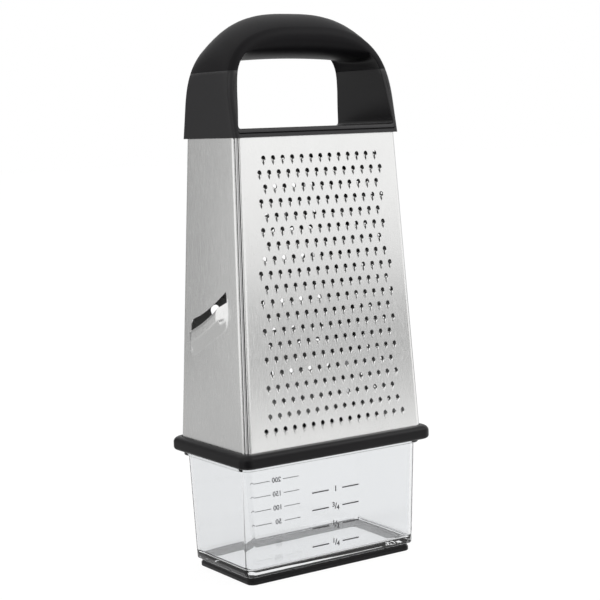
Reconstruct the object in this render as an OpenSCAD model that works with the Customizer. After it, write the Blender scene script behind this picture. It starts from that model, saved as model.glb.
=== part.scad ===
// Box grater with a handle over the top and a clear measuring container under
// its base. Millimetres, +Z up, the wide side with medium teeth faces -Y. The
// origin is on the table, under the middle of the foot.

/* [Steel body] */
// Height of the steel that shows between the base and the handle
body_h = 165; // [140:1:190]
// Width of the front and back at the top, corner to corner
top_w = 105; // [99:0.5:110]
// Depth of the two narrow sides at the top
top_d = 53; // [50:0.2:57]
// Width of the front and back at the bottom
bottom_w = 117.6; // [114:0.2:122]
// Depth of the two narrow sides at the bottom
bottom_d = 70.2; // [68:0.2:75]
// Thickness of the steel sheet
sheet = 0.5; // [0.4:0.05:0.6]
// Outside radius of the four upright corners
corner_r = 4.5; // [4.2:0.1:5]
// Width of the strip that closes each upright corner
strip_w = 1.8; // [1.7:0.1:2.1]
// Where the strip sits on the corner's arc, in degrees from the narrow side
strip_angle = 40; // [38:1:50]

/* [Medium teeth on the front] */
// Distance between teeth in a row
medium_pitch = 6.06; // [5.6:0.02:6.8]
// Distance between rows
medium_row = 7.56; // [7:0.02:8.4]
// Radius of the punched hole
medium_hole_r = 1.25; // [1.1:0.05:1.4]
// Length of the raised lip under a hole
medium_lip = 4; // [3.6:0.1:4.4]
// How far a lip stands out from the sheet
medium_rise = 1.15; // [1:0.05:1.3]

/* [Coarse teeth on the back] */
// Distance between teeth in a row
coarse_pitch = 11.6; // [10.8:0.1:12.6]
// Distance between rows
coarse_row = 13.4; // [12.8:0.1:14.4]
// Radius of the punched hole
coarse_hole_r = 2.9; // [2.5:0.1:3.3]
// Length of the raised lip under a hole
coarse_lip = 8; // [7:0.1:8.6]
// How far a lip stands out from the sheet
coarse_rise = 2.3; // [2:0.1:2.6]

/* [Fine teeth on the right side] */
// Distance between teeth in a row
fine_pitch = 5; // [4.6:0.1:5.6]
// Distance between rows
fine_row = 6; // [5.6:0.1:6.6]
// Radius of the punched hole
fine_hole_r = 0.8; // [0.7:0.05:1]
// Length of the raised lip under a hole
fine_lip = 2.6; // [2.2:0.1:3]
// How far a lip stands out from the sheet
fine_rise = 0.9; // [0.8:0.05:1]

/* [Slicer on the left side] */
// Length of the blade
slicer_len = 37; // [30:0.5:38]
// Slope of the blade in degrees, rising towards the front
slicer_angle = 24.5; // [15:0.5:30]
// Height of the middle of the blade over the bottom of the steel
slicer_up = 73; // [60:1:90]
// How far the blade lies behind the middle of the side
slicer_back = 3; // [0:0.2:3.4]
// Width of the slot over the blade
slicer_slot = 2.4; // [2:0.1:3]
// How far the blade stands out from the sheet
slicer_rise = 3.4; // [2.6:0.1:4]
// Distance from the blade's edge down to the foot of its raised land
slicer_run = 12.5; // [11:0.5:14]

/* [Handle] */
// Height of the cap bar under the grip opening
cap_h = 4.6; // [4.4:0.1:6]
// How far the cap stands out past the steel it covers
cap_out = 1.2; // [1:0.1:2]
// Overall height of the handle over the steel
handle_h = 66; // [62:0.5:72]
// Height of the grip opening over the cap bar, at its middle
opening_h = 37.2; // [34:0.2:38]
// Thickness of each leg, measured across
leg_t = 3.4; // [3:0.1:4.2]
// Depth of the grip at its top
grip_d = 37; // [34:0.5:40]
// Thickness of the soft covering over the top of the grip
grip_skin = 2.4; // [1.8:0.1:3]

/* [Base] */
// Height of the soft ring round the base
ring_h = 10.5; // [10:0.1:13]
// How far the soft ring stands out from the steel
ring_out = 4.2; // [3.8:0.1:5]

/* [Container] */
// Height of the container, from the foot to the top of its flange
cup_h = 58.3; // [45:0.1:70]
// Width of the container under its flange
cup_w = 115; // [113:0.1:115.4]
// Depth of the container under its flange
cup_d = 62.8; // [60:0.1:65]
// Width of the container at its lower edge
cup_bottom_w = 112; // [108:0.2:113]
// Depth of the container at its lower edge
cup_bottom_d = 58; // [54:0.2:60]
// Thickness of the container's walls
cup_wall = 1.8; // [1.5:0.1:2.2]
// Thickness of the container's floor
floor_t = 3; // [2.8:0.1:4]
// Height of the soft foot under the container
foot_h = 4.5; // [3.5:0.1:6]

/* [Hidden] */

// Clearances: between the container and what it carries, between sheet and
// moulding, and between the rolled edges at a corner
seat = 0.2;
slack = 0.1;
seam_gap = 0.3;
lift_gap = 0.3;
// How far cutting shapes run past what they cut
overrun = 1;
// Thickness of the slices that a hull spans
film = 0.01;

// How deep the steel sits in the base and in the cap
tuck = 5;
top_tuck = 2.6;
// Rolled edges of the sheets
bend_r = 0.6;
fold = 3;
hook = 0.7;
top_flange = 4;

// Teeth: how much wider a lip is than its hole, and the margins round them
lip_grip = 0.25;
roof_share = 0.35;
end_margin = 10;
medium_margin = 12.6;
coarse_margin = 14.5;
fine_margin = 9;
// Catches in the base and their windows in the steel
catch_share = 0.5;
catch_w = 6;
catch_h = 2.2;
// Slicer: the blade's bevel, its flat land as a share of its run, and how far
// its steep cheeks spread
bevel = 0.8;
land = 0.44;
cheek_run = 1.6;
// Handle: heights over the steel, roundings and the two ends of its outline's
// squareness
shoulder_h = 13.6;
crown = 9.8;
edge_r = 2.7;
edge_share = 0.89;
edge_squareness = 2.92;
crest_squareness = 2.77;
flare_h = 57;
flare_power = 1.7;
split_h = 35;
lean_h = 24;
leg_lean = 2.4;
roof_drop = 2;
opening_r = 2;
rim_drop = 4;
// Soft layers over the hard core: at its sides, top, legs and underside, and
// the share of the depth that the core fills
side_skin = 0.8;
leg_skin = 0.7;
under_skin = 2;
core_reach = 0.85;
no_skins = [0, 0, 0, 0];
grip_skins = [side_skin, grip_skin, leg_skin, under_skin];
// Numbers of steps in the handle's sections and along it
edge_steps = 3;
crown_steps = 2;
belly_steps = 4;
leg_steps = 4;
roof_steps = 6;
// Retainer, its tray, bosses and screws
retainer_t = 1.8;
retainer_r = 11;
tray_r = 6;
boss_r = 3.2;
boss_len = 9;
pilot_r = 1.15;
screw_play = 0.05;
screw_hole_r = 1.6;
screw_head_r = 2.8;
screw_head_h = 1.8;
screw_len = 8;
// Base: the hard frame, the funnel over the container and the soft ring
frame_out = 1.8;
wall_t = 1.6;
ledge = 0.6;
ring_lip = 1.5;
ring_low_r = 2;
ring_high_r = 3.2;
// Container: corners, rim, flange and the groove that holds the foot
cup_r = 4.8;
rim_in = 0.8;
rim_up = 4.8;
flange_t = 2;
flange_out = 2.6;
foot_from = 1.7;
foot_to = 6;
groove_from = 3;
groove_to = 4.6;
groove_deep = 1.2;

// Levels, from the table up
ring_z = foot_h + cup_h + seat;
steel_z = ring_z + ring_h;
channel_z = steel_z - tuck;
steel_top = steel_z + body_h;
ceiling = steel_top + top_tuck;

boss_low = ceiling - boss_len;
retainer = [top_w - 2 * (sheet + seam_gap) - slack, top_d - 2 * (sheet + seam_gap) - slack];
tray = [retainer[0] - 2 * (top_flange + 2), retainer[1] - 2 * (top_flange + 2)];
boss_x = tray[0] / 2 - retainer_t - boss_r - 4;
boss_y = tray[1] / 2 - retainer_t - boss_r - 2;
flange_inset = corner_r + fold;

// How much the wide and the narrow sides lean in for each unit of height
wide_slope = (bottom_d - top_d) / 2 / body_h;
narrow_slope = (bottom_w - top_w) / 2 / body_h;

steel = "#c9cbcc";
hard_black = "#3a383b";
soft_black = "#2e2c2e";
clear = [0.85, 0.88, 0.9, 0.5];

// Outlines and sweeps

function turned(p, angle) =
    [p[0] * cos(angle) - p[1] * sin(angle), p[0] * sin(angle) + p[1] * cos(angle)];

function arc(r, from, to, steps) =
    [for (i = [0:steps]) let (a = from + (to - from) * i / steps) r * [cos(a), sin(a)]];

module rounded(w, d, r) {
    square([w - 2 * r, d], center = true);
    square([w, d - 2 * r], center = true);
    for (x = [-1, 1], y = [-1, 1])
        translate([x * (w / 2 - r), y * (d / 2 - r)])
            circle(r, $fn = 32);
}

module block(size, r, low, high)
    translate([0, 0, low])
        linear_extrude(high - low)
            rounded(size[0], size[1], r);

// Block whose outline changes evenly from low to high
module tapered(low_size, high_size, r, low, high)
    hull() {
        block(low_size, r, low, low + film);
        block(high_size, r, high - film, high);
    }

// Sweep a section round a rounded rectangle; the section's x points outwards
module around(size, r)
    for (quarter = [0:3]) {
        along = quarter % 2 == 0 ? size : [size[1], size[0]];
        rotate([0, 0, 90 * quarter]) {
            translate([along[0] / 2, 0, 0])
                rotate([90, 0, 0])
                    linear_extrude(along[1] - 2 * r, center = true)
                        children();
            translate([along[0] / 2 - r, along[1] / 2 - r, 0])
                rotate_extrude(angle = 90, $fn = 64)
                    translate([r, 0])
                        children();
        }
    }

module level_slab(low, high)
    translate([-bottom_w, -bottom_w, low])
        cube([2 * bottom_w, 2 * bottom_w, high - low]);

// Frames to build the steel in. On a side: x to the right as seen from
// outside, y up the sheet, z out of it

module on_side(turn, half_gap, slope)
    rotate([0, 0, turn])
        translate([0, -half_gap, steel_z])
            rotate([90 - atan(slope), 0, 0])
                children();

module on_front() on_side(0, bottom_d / 2, wide_slope) children();
module on_back() on_side(180, bottom_d / 2, wide_slope) children();
module on_left() on_side(-90, bottom_w / 2, narrow_slope) children();
module on_right() on_side(90, bottom_w / 2, narrow_slope) children();

function unit(v) = v / norm(v);
edge_up = unit([-narrow_slope, -wide_slope, 1]);
wide_out = unit([0, 1, wide_slope]);
narrow_out = unit([1, 0, narrow_slope]);

// At the back right corner: z up the corner's edge, x out of the narrow side
// and y out of the wide side. by_wide makes y exact, and otherwise x is
module at_corner(by_wide) {
    x_axis = by_wide ? cross(wide_out, edge_up) : narrow_out;
    y_axis = by_wide ? wide_out : cross(edge_up, narrow_out);
    multmatrix([for (i = [0:2])
        [x_axis[i], y_axis[i], edge_up[i], [bottom_w / 2, bottom_d / 2, steel_z][i]]])
        children();
}

// Rolled edges

degrees_per_length = 180 / PI / corner_r;
strip_half = strip_w / 2 * degrees_per_length;
seam = seam_gap * degrees_per_length;

// Points of a bend that turns in from the corner's arc, with its face at angle
// 0 and the sheet on the side of growing angles
bend_lean = asin(bend_r / (corner_r - bend_r));
bend_centre = [(corner_r - bend_r) * cos(bend_lean), bend_r];
bend_points = [for (p = arc(bend_r, bend_lean, -90, 4)) bend_centre + p];
inner_r = corner_r - sheet;
inner_lean = asin(sheet / inner_r);

// Section of a sheet's edge at a corner: the flat ends where the arc is at 90
// degrees, and the arc turns in at edge_angle
function rolled_edge(edge_angle) =
    [for (p = concat(
        [[-overrun, corner_r]],
        arc(corner_r, 90, edge_angle + bend_lean, 6),
        [for (i = [1:len(bend_points) - 1]) turned(bend_points[i], edge_angle)],
        [turned([corner_r - fold, 0], edge_angle)],
        [turned([corner_r - fold, sheet], edge_angle)],
        arc(inner_r, edge_angle + inner_lean, 90, 6),
        [[-overrun, inner_r]]
    )) p - [corner_r, corner_r]];

function flipped(points) = [for (p = points) [p[1], p[0]]];

// One side of a strip's section, from the bend at its edge down to the foot that
// hooks behind the fold beside it
strip_leg = corner_r - fold - slack;
strip_side = [for (p = concat(bend_points, [
    [strip_leg, 0], [strip_leg, -hook], [strip_leg - sheet, -hook]
])) turned(p, -strip_half)];

module strip_section()
    translate([-corner_r, -corner_r])
        rotate(strip_angle)
            polygon(concat(
                [[corner_r, 0]],
                strip_side,
                [for (i = [len(strip_side) - 1:-1:0]) [strip_side[i][0], -strip_side[i][1]]]
            ));

// The space inside the steel that the base's inner wall fills
inner_wall = [bottom_w - 2 * (sheet + slack), bottom_d - 2 * (sheet + slack)];
inner_wall_r = corner_r - sheet - slack;

module inside_base()
    block(inner_wall, inner_wall_r, channel_z - overrun, steel_z + slack);

// Keep what stands between the channel in the base and the cap's ceiling
module trimmed()
    difference() {
        intersection() {
            union() children();
            level_slab(channel_z, ceiling);
        }
        inside_base();
    }

// Teeth

// Section of a raised lip: a narrow roof, shrunk by cut for its hollow
function arch(half, rise, cut) =
    let (
        deep = sheet + overrun,
        top = half * roof_share,
        foot = half + (half - top) * deep / rise
    )
    [[cut - foot, -deep], [cut / 2 - top, rise - cut], [top - cut / 2, rise - cut], [foot - cut, -deep]];

// What a tooth's lip or its hollow is cut from: an arch that runs down the
// sheet from the hole and sinks into it
module sloping_arch(hole_r, length, rise, cut) {
    slope = rise / (length - hole_r);
    rotate([90 - atan(slope), 0, 0])
        linear_extrude(length * 1.2)
            polygon(arch(hole_r + lip_grip, slope * length, cut));
}

module raised_lip(hole_r, length, rise)
    intersection() {
        sloping_arch(hole_r, length, rise, 0);
        translate([-length, -2 * length, -sheet / 2])
            cube([2 * length, 3 * length, length]);
    }

module hole(hole_r, length)
    translate([0, 0, -sheet - overrun])
        cylinder(r = hole_r, h = length, $fn = 24);

// Staggered places for teeth, row after row down a side, clear of its edges
function places(pitch, row, bottom_half, slope, margin) =
    let (rows = floor((body_h - 2 * end_margin) / row))
    [for (i = [0:rows])
        let (
            up = body_h / 2 + (rows / 2 - i) * row,
            limit = bottom_half - slope * up - margin,
            shift = i % 2 / 2,
            most = floor(limit / pitch - shift)
        )
        for (j = [-most - 2 * shift:most]) [(j + shift) * pitch, up]];

medium_places = places(medium_pitch, medium_row, bottom_w / 2, narrow_slope, medium_margin);
coarse_places = places(coarse_pitch, coarse_row, bottom_w / 2, narrow_slope, coarse_margin);
fine_places = places(fine_pitch, fine_row, bottom_d / 2, wide_slope, fine_margin);

// Steel panels

// Plate between the rounded corners of a side
module plate(bottom_half, slope) {
    low = -tuck - overrun;
    high = body_h + top_tuck + overrun;
    inset = corner_r + overrun / 2;
    translate([0, 0, -sheet])
        linear_extrude(sheet)
            polygon([for (p = [[-1, low], [1, low], [1, high], [-1, high]])
                [p[0] * (bottom_half - slope * p[1] - inset), p[1]]]);
}

// The turned-in edges of the wide sides (by_wide) or of the narrow sides
module edges(by_wide) {
    section = by_wide
        ? rolled_edge(strip_angle + strip_half + seam)
        : flipped(rolled_edge(90 - strip_angle + strip_half + seam));
    at_corner(by_wide)
        translate([0, 0, -tuck - overrun])
            linear_extrude(body_h + tuck + top_tuck + 3 * overrun)
                polygon(section);
}

// Windows near the bottom edge, which the catches in the base snap into
module windows(half)
    for (x = [-1, 1])
        translate([x * half * catch_share - catch_w / 2, -tuck / 2 - catch_h / 2, -sheet - overrun])
            cube([catch_w, catch_h, sheet + 2 * overrun]);

// Flange that the top retainer grips, from the middle of a sheet inwards
module top_flange_strip(length)
    translate([-length / 2, -top_flange, ceiling - sheet])
        cube([length, top_flange, sheet]);

module wide_blank() {
    trimmed() {
        on_front() plate(bottom_w / 2, narrow_slope);
        for (side = [0, 1])
            mirror([side, 0, 0]) mirror([0, 1, 0]) edges(true);
    }
    translate([0, top_flange - top_d / 2 + wide_slope * top_tuck + sheet / 2, 0])
        top_flange_strip(top_w - 2 * flange_inset);
}

module narrow_blank() {
    trimmed() {
        on_left() plate(bottom_d / 2, wide_slope);
        for (side = [0, 1])
            mirror([0, side, 0]) mirror([1, 0, 0]) edges(false);
    }
    translate([top_flange - top_w / 2 + narrow_slope * top_tuck + sheet / 2, 0, 0])
        rotate([0, 0, -90])
            top_flange_strip(top_d - 2 * flange_inset);
}

module front_panel()
    color(steel)
        difference() {
            union() {
                wide_blank();
                on_front() for (p = medium_places) translate(p)
                    raised_lip(medium_hole_r, medium_lip, medium_rise);
            }
            on_front() {
                for (p = medium_places) translate(p) {
                    hole(medium_hole_r, medium_lip);
                    sloping_arch(medium_hole_r, medium_lip, medium_rise, sheet);
                }
                windows(bottom_w / 2);
            }
        }

module back_panel()
    color(steel)
        difference() {
            union() {
                rotate([0, 0, 180]) wide_blank();
                on_back() for (p = coarse_places) translate(p)
                    raised_lip(coarse_hole_r, coarse_lip, coarse_rise);
            }
            on_back() {
                for (p = coarse_places) translate(p) {
                    hole(coarse_hole_r, coarse_lip);
                    sloping_arch(coarse_hole_r, coarse_lip, coarse_rise, sheet);
                }
                windows(bottom_w / 2);
            }
        }

module right_panel()
    color(steel)
        difference() {
            union() {
                rotate([0, 0, 180]) narrow_blank();
                on_right() for (p = fine_places) translate(p)
                    raised_lip(fine_hole_r, fine_lip, fine_rise);
            }
            on_right() {
                for (p = fine_places) translate(p)
                    hole(fine_hole_r, fine_lip);
                windows(bottom_d / 2);
            }
        }

// Slicer: x along the blade, y across it with the edge at 0, z out of the side

// Section across the blade: a land behind the sharp edge, then a ramp down
function blade_section(cut) = [
    [cut > 0 ? overrun : 0, -sheet / 2 - cut * 2],
    [cut > 0 ? overrun : 0, slicer_rise - sheet],
    [cut > 0 ? -bevel : 0, slicer_rise - sheet],
    [-bevel, slicer_rise - cut],
    [-land * slicer_run, slicer_rise - cut],
    [-slicer_run + cut, -sheet / 2 + (cut > 0 ? -cut : 0)]
];

// Section along the blade: steep cheeks that close the raised land's ends
function blade_length(cut) = [
    [-slicer_len / 2 + cut, -2 * sheet],
    [-slicer_len / 2 + cut, 0],
    [-slicer_len / 2 + cheek_run + cut, slicer_rise],
    [slicer_len / 2 - cheek_run - cut, slicer_rise],
    [slicer_len / 2 - cut, 0],
    [slicer_len / 2 - cut, -2 * sheet]
];

module raised_blade(cut)
    intersection() {
        rotate([90, 0, 90])
            linear_extrude(2 * slicer_len, center = true)
                polygon(blade_section(cut));
        rotate([90, 0, 0])
            linear_extrude(4 * slicer_run, center = true)
                polygon(blade_length(cut));
    }

module at_slicer()
    on_left()
        translate([-slicer_back, slicer_up, 0])
            rotate([0, 0, slicer_angle])
                children();

module slot_outline()
    hull()
        for (side = [-1, 1])
            translate([side * (slicer_len - slicer_slot) / 2, slicer_slot / 2])
                circle(slicer_slot / 2, $fn = 32);

module left_panel()
    color(steel)
        difference() {
            union() {
                narrow_blank();
                at_slicer() raised_blade(0);
            }
            at_slicer() {
                raised_blade(sheet);
                translate([0, 0, -sheet - overrun])
                    linear_extrude(sheet + 2 * overrun)
                        slot_outline();
            }
            on_left() windows(bottom_d / 2);
        }

module corner_strip(x, y)
    color("#dfe1e2")
        mirror([x, 0, 0])
            mirror([0, y, 0])
                trimmed()
                    at_corner(true)
                        translate([0, 0, -tuck - overrun])
                            linear_extrude(body_h + tuck + top_tuck + 3 * overrun)
                                strip_section();

// Handle. Heights here are over the top of the visible steel

cap = [top_w + 2 * cap_out, top_d + 2 * cap_out];
crest_rise = handle_h - shoulder_h;
edge_rise = crest_rise - crown;

function mix(a, b, share) = a + (b - a) * share;
function half_depth(up) =
    mix(grip_d, cap[1], pow(1 - min(1, up / flare_h), flare_power)) / 2;
function ease(share, from) = 1 - sqrt(1 - pow(max(0, (abs(share) - from) / (1 - from)), 2));
function power(value, exponent) = sign(value) * pow(abs(value), exponent);

function rounding(share) = edge_r * ease(share, edge_share);

// A bow is half the width of an arch, its rise over the shoulders and the
// exponent of its curve: here, the handle's outline at a share of its depth.
// Skins are the soft layers over the core: at its sides, top, legs and underside
function outer_bow(share, skins) =
    let (middle = 1 - share * share)
    [
        cap[0] / 2 - skins[0] - rounding(share),
        mix(edge_rise, crest_rise, middle) - skins[1] - rounding(share),
        2 / mix(edge_squareness, crest_squareness, middle)
    ];

// The inner edge of the rim, where the opening meets the front and back faces
function rim_bow(skins) =
    [opening_half + skins[2], edge_rise - rim_drop + skins[3], 2 / edge_squareness];

function bow_angle(bow, up) =
    up <= shoulder_h ? 0 : asin(pow((up - shoulder_h) / bow[1], 1 / bow[2]));
function bow_point(bow, angle) =
    [bow[0] * power(cos(angle), bow[2]), shoulder_h + bow[1] * power(sin(angle), bow[2])];
function bow_x(bow, up) = bow_point(bow, bow_angle(bow, up))[0];
function over_bow(bow, low, share) =
    let (start = bow_angle(bow, low))
    bow_point(bow, mix(start, 180 - start, share));

// The opening for the hand, seen from the front: up its right side from low,
// along the roof and down its left side
opening_half = cap[0] / 2 - leg_t;
roof_high = cap_h + opening_h;

function opening_x(up) = opening_half - leg_lean * max(0, up - lean_h) / (roof_high - lean_h);

function opening_line(low, skins) =
    let (
        roof = roof_high + skins[3],
        corner_up = roof - roof_drop - opening_r,
        right = [for (up = [low, corner_up]) [opening_x(up) + skins[2], up]],
        corner = right[1] - [opening_r, 0]
    )
    concat(
        right,
        [corner + opening_r * [cos(45), sin(45)]],
        [for (i = [-roof_steps:roof_steps])
            let (share = i / roof_steps)
            [-corner[0] * share, roof - roof_drop * share * share]],
        [[-corner[0], corner[1]] + opening_r * [-cos(45), sin(45)]],
        [for (i = [1, 0]) [-right[i][0], right[i][1]]]
    );

// Shares of the depth at which sections have points: on the outside, close
// together over the rounded edges, and on the inside, over the rounded belly
edge_shares = [for (i = [0:edge_steps])
    edge_share + (1 - edge_share) * sin(90 * i / edge_steps)];
outer_shares = concat(
    [for (i = [edge_steps:-1:0]) -edge_shares[i]],
    [for (i = [-crown_steps:crown_steps]) edge_share * i / (crown_steps + 1)],
    edge_shares
);
inner_shares = [for (i = [belly_steps:-1:-belly_steps]) sin(90 * i / belly_steps)];

function placed(share, point) = [point[0], share * half_depth(point[1]), steel_top + point[1]];

// One section of the arch over the opening, from its right foot at low to its
// left foot. reach is the share of the depth that it fills
function arch_section(along, low, skins, reach, line) = concat(
    [for (share = outer_shares * reach)
        placed(share, over_bow(outer_bow(share, skins), low, along / (len(line) - 1)))],
    [for (share = inner_shares * reach)
        placed(share, mix(line[along], over_bow(rim_bow(skins), low, along / (len(line) - 1)),
            ease(share, 0)))]
);

// One level section of a leg. side is 1 on the right and -1 on the left
function leg_section(side, outer_up, inner) = concat(
    [for (share = outer_shares)
        placed(share, [side * bow_x(outer_bow(share, no_skins), outer_up), outer_up])],
    [for (share = inner_shares)
        placed(share, [side * mix(inner[0], bow_x(rim_bow(no_skins), inner[1]) - inner[2],
            ease(share, 0)), inner[1]])]
);

// A leg's sections from the top down to the middle of the cap
function leg_sections(side) = concat(
    [for (i = [0:leg_steps])
        let (up = mix(split_h, cap_h + opening_r, i / leg_steps))
        leg_section(side, up, [opening_x(up), up, 0])],
    [for (i = [1, 2])
        let (in = opening_r * (1 - cos(45 * i)))
        leg_section(side, (cap_h + opening_r) * (1 - i / 2),
            [opening_half - in, cap_h + opening_r * (1 - sin(45 * i)), in])]
);

// Skin round a row of sections, each with the same number of points
module skin(sections) {
    n = len(sections[0]);
    last = len(sections) - 1;
    polyhedron(
        points = [for (section = sections) each section],
        faces = concat(
            [for (j = [0:last - 1], i = [0:n - 1], half = [0, 1])
                let (a = j * n + i, b = a + n, c = (j + 1) * n + (i + 1) % n, d = c - n)
                half == 0 ? [a, b, c] : [a, c, d]],
            [[for (i = [0:n - 1]) i]],
            [[for (i = [n - 1:-1:0]) last * n + i]]
        ),
        convexity = 6
    );
}

module arch_skin(low, skins, reach) {
    line = opening_line(low, skins);
    skin([for (along = [0:len(line) - 1]) arch_section(along, low, skins, reach, line)]);
}

// The hard arch inside the soft grip
module grip_core()
    arch_skin(split_h - overrun, grip_skins, core_reach);

module bosses(r, low)
    for (x = [-1, 1], y = [-1, 1])
        translate([x * boss_x, y * boss_y, low])
            cylinder(r = r, h = ceiling + overrun - low, $fn = 48);

module handle_frame()
    color(hard_black)
        difference() {
            union() {
                difference() {
                    skin([
                        each leg_sections(-1),
                        for (i = [leg_steps + 2:-1:0]) leg_sections(1)[i]
                    ]);
                    block([top_w + 2 * slack, top_d + 2 * slack], corner_r + slack,
                        steel_top - overrun, ceiling);
                }
                grip_core();
                bosses(boss_r, boss_low);
            }
            translate([0, 0, -overrun]) bosses(pilot_r, boss_low);
        }

module handle_grip()
    color(soft_black)
        difference() {
            arch_skin(split_h, no_skins, 1);
            grip_core();
        }

// Plate that clamps the panels' top flanges up into the cap, with a tray that
// the screws go through
module top_retainer()
    color(hard_black)
        difference() {
            union() {
                block(retainer, retainer_r, ceiling - sheet - retainer_t, ceiling - sheet);
                block(tray, tray_r, boss_low - retainer_t, ceiling - sheet);
            }
            block([tray[0] - 2 * retainer_t, tray[1] - 2 * retainer_t], tray_r - retainer_t,
                boss_low, ceiling);
            translate([0, 0, -retainer_t - overrun]) bosses(screw_hole_r, boss_low);
        }

module retainer_screws()
    color("silver")
        for (x = [-1, 1], y = [-1, 1])
            translate([x * boss_x, y * boss_y, boss_low - retainer_t]) {
                translate([0, 0, -screw_head_h])
                    cylinder(r = screw_head_r, h = screw_head_h, $fn = 48);
                cylinder(r = pilot_r - screw_play, h = screw_len, $fn = 48);
            }

// Base

frame_size = [bottom_w + 2 * frame_out, bottom_d + 2 * frame_out];
rim_size = [cup_w - 2 * rim_in, cup_d - 2 * rim_in];
rim_top = foot_h + cup_h + rim_up;

// Small ramps on the base's inner wall that snap into the panels' windows
module catches(half, gap)
    for (x = [-1, 1], y = [0, 180])
        rotate([0, 0, y])
            translate([x * half * catch_share - catch_w / 2 + lift_gap, gap - slack,
                steel_z - tuck / 2 - catch_h / 2 + lift_gap])
                cube([catch_w - 2 * lift_gap, sheet + slack, catch_h - 2 * lift_gap]);

module base_frame()
    color(hard_black) {
        difference() {
            union() {
                block(frame_size, corner_r + frame_out, ring_z, steel_z - ring_lip);
                block(inner_wall, inner_wall_r, ring_z, steel_z);
            }
            difference() {
                block([bottom_w + 2 * (slack + narrow_slope * tuck),
                    bottom_d + 2 * (slack + wide_slope * tuck)],
                    corner_r + slack, channel_z, steel_z + overrun);
                block(inner_wall, inner_wall_r, channel_z - overrun, steel_z + 2 * overrun);
            }
            block([rim_size[0] + 2 * lift_gap, rim_size[1] + 2 * lift_gap], cup_r,
                ring_z - overrun, rim_top + lift_gap);
            tapered([cup_w - 2 * (cup_wall + ledge), cup_d - 2 * (cup_wall + ledge)],
                [inner_wall[0] - 2 * wall_t, inner_wall[1] - 2 * wall_t],
                inner_wall_r - wall_t, rim_top, steel_z + film);
        }
        catches(bottom_w / 2, inner_wall[1] / 2);
        rotate([0, 0, 90]) catches(bottom_d / 2, inner_wall[0] / 2);
    }

// Section of the soft ring: flat inside, round outside, with a lip that closes
// over the hard frame and against the steel
function ring_section() = concat(
    [[frame_out, 0]],
    [for (p = arc(ring_low_r, -90, 0, 4)) p + [ring_out - ring_low_r, ring_low_r]],
    [for (p = arc(ring_high_r, 0, 90, 6)) p + [ring_out - ring_high_r, ring_h - ring_high_r]],
    [[slack, ring_h], [slack, ring_h - ring_lip], [frame_out, ring_h - ring_lip]]
);

module base_ring()
    color(soft_black)
        translate([0, 0, ring_z])
            around([bottom_w, bottom_d], corner_r)
                polygon(ring_section());

// Container

cup_low = [cup_bottom_w, cup_bottom_d];
cup_high = [cup_w, cup_d];
flange_z = foot_h + cup_h - flange_t;
cavity_top = [cup_w - 2 * cup_wall, cup_d - 2 * cup_wall];

module foot_outline(from, to, low, high)
    difference() {
        block([cup_bottom_w - 2 * from, cup_bottom_d - 2 * from], cup_r - from / 2, low, high);
        block([cup_bottom_w - 2 * to, cup_bottom_d - 2 * to], cup_r - to / 2, low - overrun, high + overrun);
    }

module container()
    color(clear)
        difference() {
            union() {
                tapered(cup_low, cup_high, cup_r, foot_h, flange_z + film);
                block([cup_w + 2 * flange_out, cup_d + 2 * flange_out], cup_r + flange_out,
                    flange_z, foot_h + cup_h);
                block(rim_size, cup_r - rim_in, flange_z, rim_top);
            }
            tapered([cup_bottom_w - 2 * cup_wall, cup_bottom_d - 2 * cup_wall], cavity_top,
                cup_r - cup_wall, foot_h + floor_t, flange_z + film);
            block(cavity_top, cup_r - cup_wall, flange_z, rim_top + overrun);
            foot_outline(groove_from - slack, groove_to + slack, foot_h - overrun, foot_h + groove_deep);
        }

module foot_ring()
    color(soft_black) {
        foot_outline(foot_from, foot_to, 0, foot_h);
        foot_outline(groove_from, groove_to, 0, foot_h + groove_deep - slack);
    }

for (part = [
    ["front_left_strip", 1, 1], ["front_right_strip", 0, 1],
    ["back_left_strip", 1, 0], ["back_right_strip", 0, 0]
])
    corner_strip(part[1], part[2]);
handle_frame();
handle_grip();
top_retainer();
retainer_screws();
front_panel();
back_panel();
left_panel();
right_panel();
base_frame();
base_ring();
container();
foot_ring();
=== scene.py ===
"""Box grater over a clear measuring container: its meshes, materials and studio."""

import math
from contextlib import contextmanager
from types import SimpleNamespace

import bmesh
import bpy
from bpy.props import FloatProperty, FloatVectorProperty, PointerProperty
from bpy.types import Operator, Panel, PropertyGroup
from mathutils import Matrix, Vector
from mathutils.geometry import delaunay_2d_cdt


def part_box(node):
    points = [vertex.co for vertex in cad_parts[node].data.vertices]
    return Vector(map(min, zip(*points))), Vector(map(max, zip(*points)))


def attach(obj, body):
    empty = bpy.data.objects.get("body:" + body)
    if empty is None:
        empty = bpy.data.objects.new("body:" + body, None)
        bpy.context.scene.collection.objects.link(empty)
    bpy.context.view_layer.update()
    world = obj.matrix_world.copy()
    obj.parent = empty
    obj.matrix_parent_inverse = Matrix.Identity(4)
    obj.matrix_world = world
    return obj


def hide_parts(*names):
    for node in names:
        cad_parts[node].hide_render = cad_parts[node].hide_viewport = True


bl_info = {
    "name": "Box Grater",
    "version": (1, 0, 0),
    "blender": (4, 5, 0),
    "location": "View3D > Sidebar > Grater",
    "description": "Makes a box grater, the clear container under it and a studio",
    "category": "Add Mesh",
}

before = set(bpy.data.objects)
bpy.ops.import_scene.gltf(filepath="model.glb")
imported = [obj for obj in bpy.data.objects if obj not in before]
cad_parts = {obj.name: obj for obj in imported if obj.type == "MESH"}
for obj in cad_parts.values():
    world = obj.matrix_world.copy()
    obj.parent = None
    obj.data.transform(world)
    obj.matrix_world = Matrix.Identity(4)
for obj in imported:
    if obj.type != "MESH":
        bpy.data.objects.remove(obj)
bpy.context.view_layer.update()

MM = 0.001


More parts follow.
